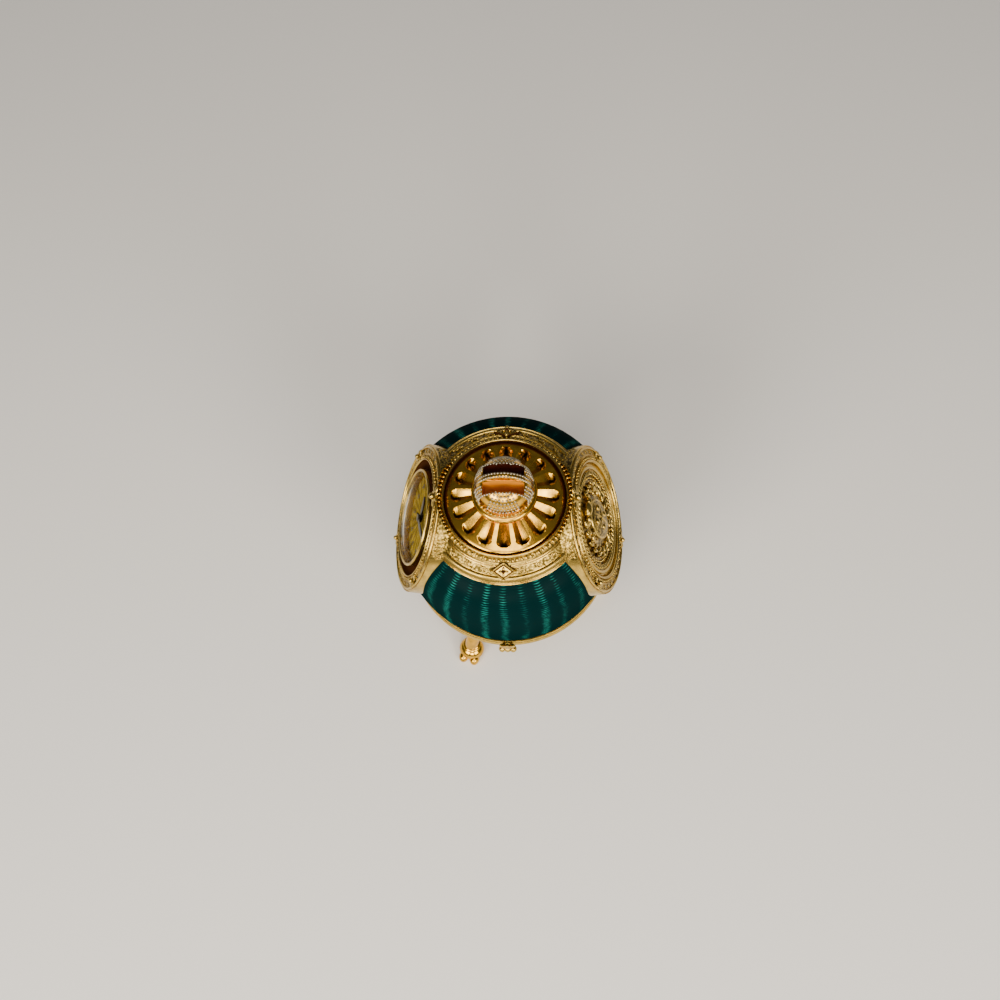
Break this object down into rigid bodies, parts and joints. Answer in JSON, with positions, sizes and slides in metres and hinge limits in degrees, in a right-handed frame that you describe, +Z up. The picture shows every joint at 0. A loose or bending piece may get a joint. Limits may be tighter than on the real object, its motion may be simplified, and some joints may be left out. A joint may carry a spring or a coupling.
{
  "type": "table_clock",
  "caption": "Enamelled egg clock on a gilt tripod, with a dial medallion in front, a relief medallion behind, and a fluted sunburst and crown on top.",
  "frame": {"origin": "on the floor under the egg's axis", "axes": "+Z up, the dial faces -Y, +X is to the right of who faces the dial"},
  "size_m": [0.074, 0.0806, 0.1125],
  "materials": {
    "gilt": "polished",
    "enamel": "gloss",
    "dial_face": "satin",
    "hand_metal": "satin",
    "crystal": "clear"
  },
  "bodies": {
    "case": {"egg_body": "enamel", "girdle_band": "gilt", "top_frame": "gilt", "sunburst_plate": "gilt", "crown_finial": "gilt", "dial_frame": "gilt", "relief_frame": "gilt", "dial_bezel": "gilt", "dial_plate": "dial_face", "dial_glass": "crystal", "relief_plaque": "gilt", "stand": "gilt"},
    "minute": {"minute_hand": "hand_metal"},
    "hour": {"hour_hand": "hand_metal"}
  },
  "joints": [
    {"name": "minute_turn", "type": "hinge", "parent": "case", "child": "minute", "pos_m": [0, -0.0311, 0.0746], "axis": [0, 0.9225, -0.3859], "continuous": true},
    {"name": "hour_turn", "type": "hinge", "parent": "case", "child": "hour", "pos_m": [0, -0.0311, 0.0746], "axis": [0, 0.9225, -0.3859], "continuous": true}
  ]
}
